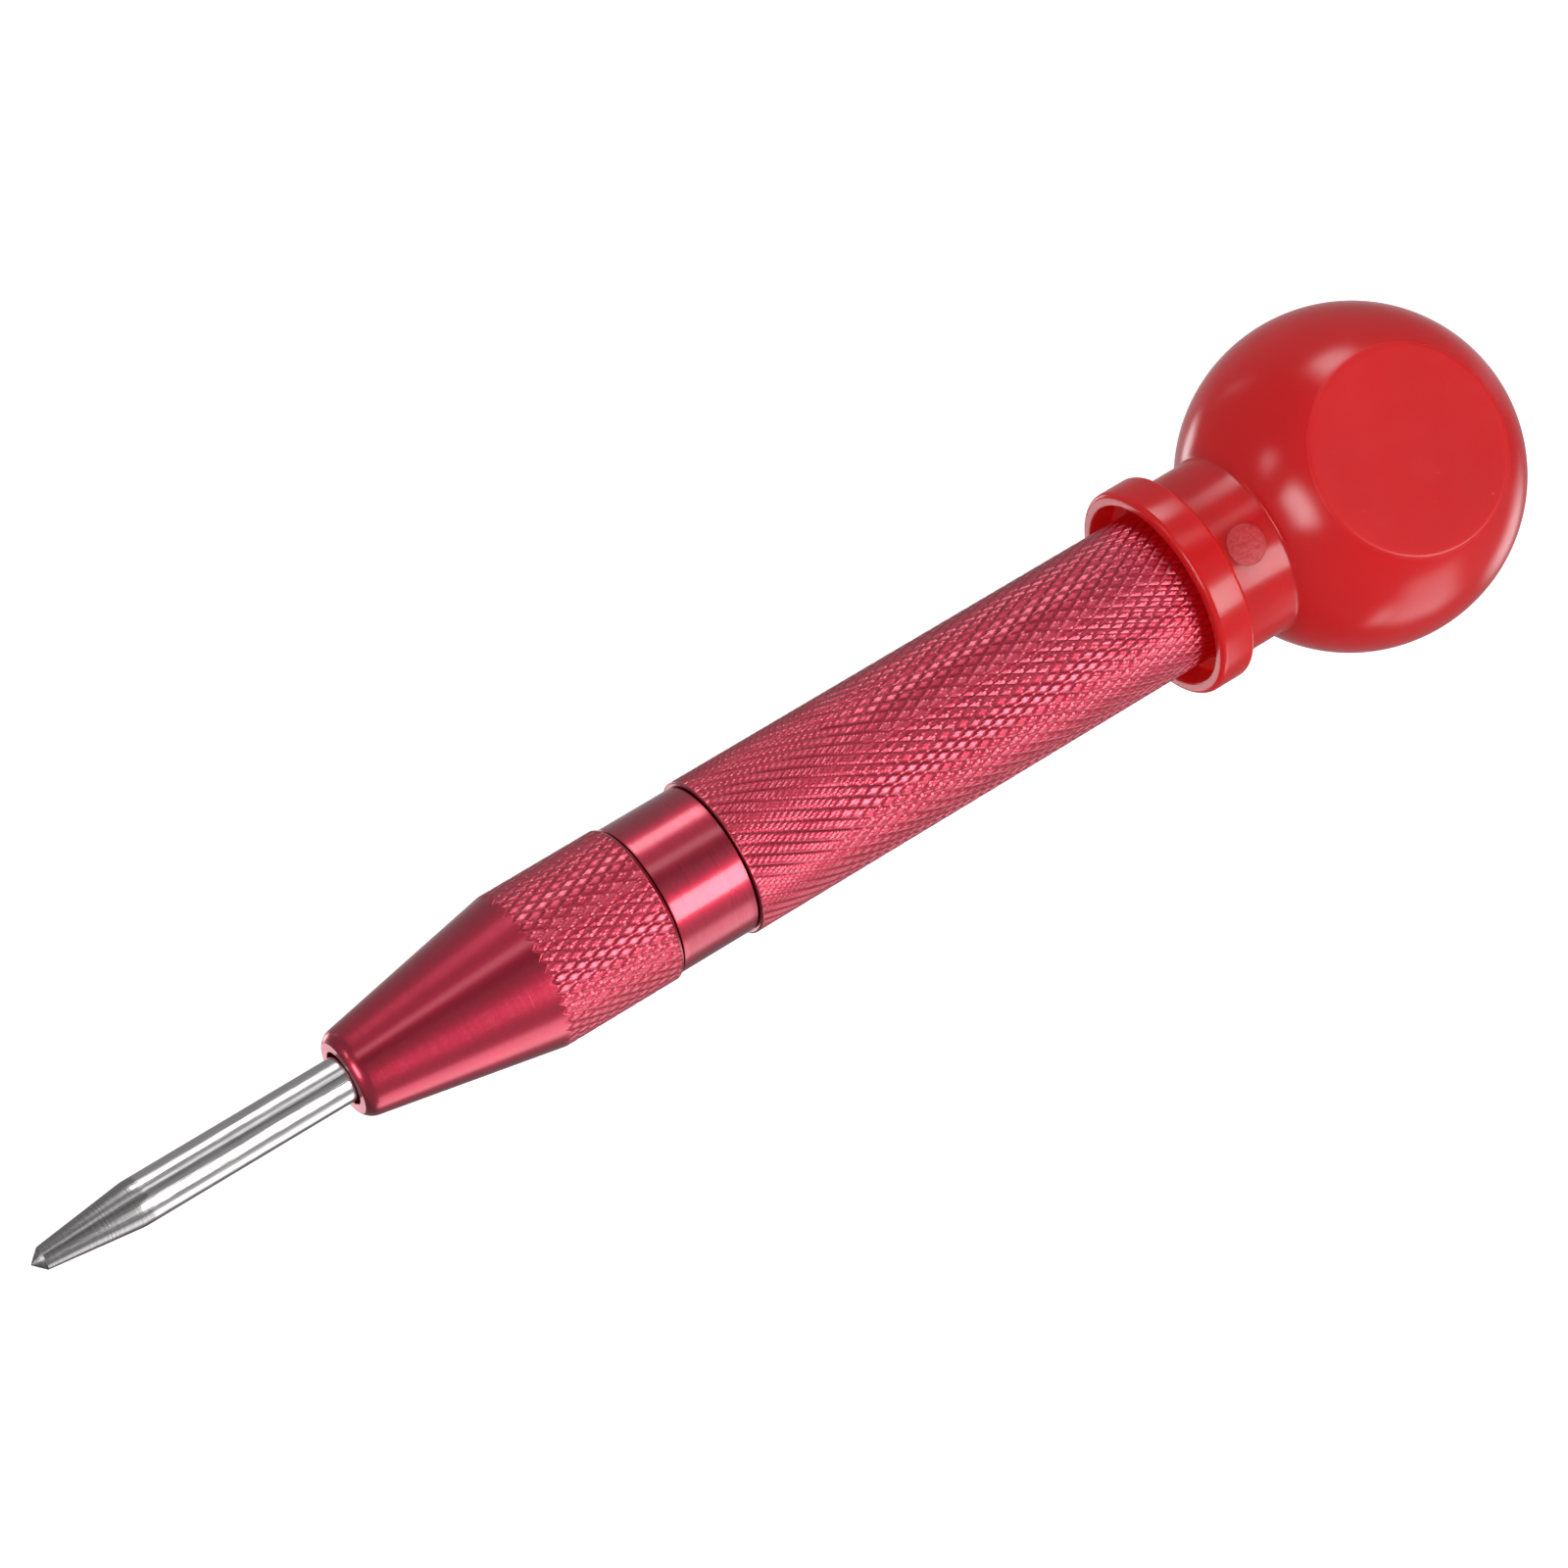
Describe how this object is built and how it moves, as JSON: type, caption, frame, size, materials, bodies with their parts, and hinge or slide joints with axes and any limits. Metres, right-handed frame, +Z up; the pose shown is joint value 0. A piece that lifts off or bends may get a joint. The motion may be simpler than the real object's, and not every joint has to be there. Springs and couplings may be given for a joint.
{
  "type": "automatic centre punch",
  "caption": "Spring-loaded centre punch: steel pin, knurled anodised body with screw-set blow force, and a push-on ball cap with side flats.",
  "frame": {"origin": "middle of the base of the tool's box; the base is the lower flat of the ball cap", "axes": "+X along the tool axis from the point to the ball, +Z up out of the upper flat of the ball cap, tool lying on its lower flat"},
  "size_m": [0.146, 0.03, 0.024],
  "materials": {
    "polished_steel": "ground and polished shank, turned taper and point",
    "red_anodised": "red anodised aluminium, turned and diamond knurled",
    "red_plastic": "glossy moulded plastic",
    "hardened_steel": "turned and hardened, oiled",
    "spring_steel": "drawn spring wire"
  },
  "bodies": {
    "barrel": {"nose_cone": "red_anodised", "centre_body": "red_anodised", "return_spring": "spring_steel"},
    "pin": {"punch_pin": "polished_steel"},
    "rod": {"trip_rod": "hardened_steel"},
    "striker": {"hammer": "hardened_steel"},
    "seat": {"spring_seat": "hardened_steel", "main_spring": "spring_steel"},
    "sleeve": {"rear_sleeve": "red_anodised"},
    "cap": {"ball_cap": "red_plastic"}
  },
  "joints": [
    {"name": "pin_press", "type": "slide", "parent": "barrel", "child": "pin", "axis": [1, 0, 0], "range_m": [0, 0.009], "stiffness_N_per_m": 150, "springref_m": -0.004, "deforming": ["return_spring", "main_spring"]},
    {"name": "rod_align", "type": "hinge", "parent": "pin", "child": "rod", "pos_m": [-0.02875, 0, 0.012], "axis": [0, 1, 0], "range_deg": [0, 3.87]},
    {"name": "hammer_lift", "type": "slide", "parent": "barrel", "child": "striker", "axis": [1, 0, 0], "range_m": [0, 0.009]},
    {"name": "force_screw", "type": "slide", "parent": "barrel", "child": "seat", "axis": [1, 0, 0], "range_m": [0, 0.008]},
    {"name": "sleeve_turn", "type": "hinge", "parent": "seat", "child": "sleeve", "pos_m": [0.022, 0, 0.012], "axis": [1, 0, 0], "range_deg": [0, 2880.01]},
    {"name": "cap_pull", "type": "slide", "parent": "sleeve", "child": "cap", "axis": [1, 0, 0], "range_m": [0, 0.02]}
  ],
  "couplings": [
    {"joint": "rod_align", "follows": "pin_press", "rad_per_m": 7.4996},
    {"joint": "hammer_lift", "follows": "pin_press", "ratio": 1},
    {"joint": "sleeve_turn", "follows": "force_screw", "rad_per_m": 6283.2}
  ]
}
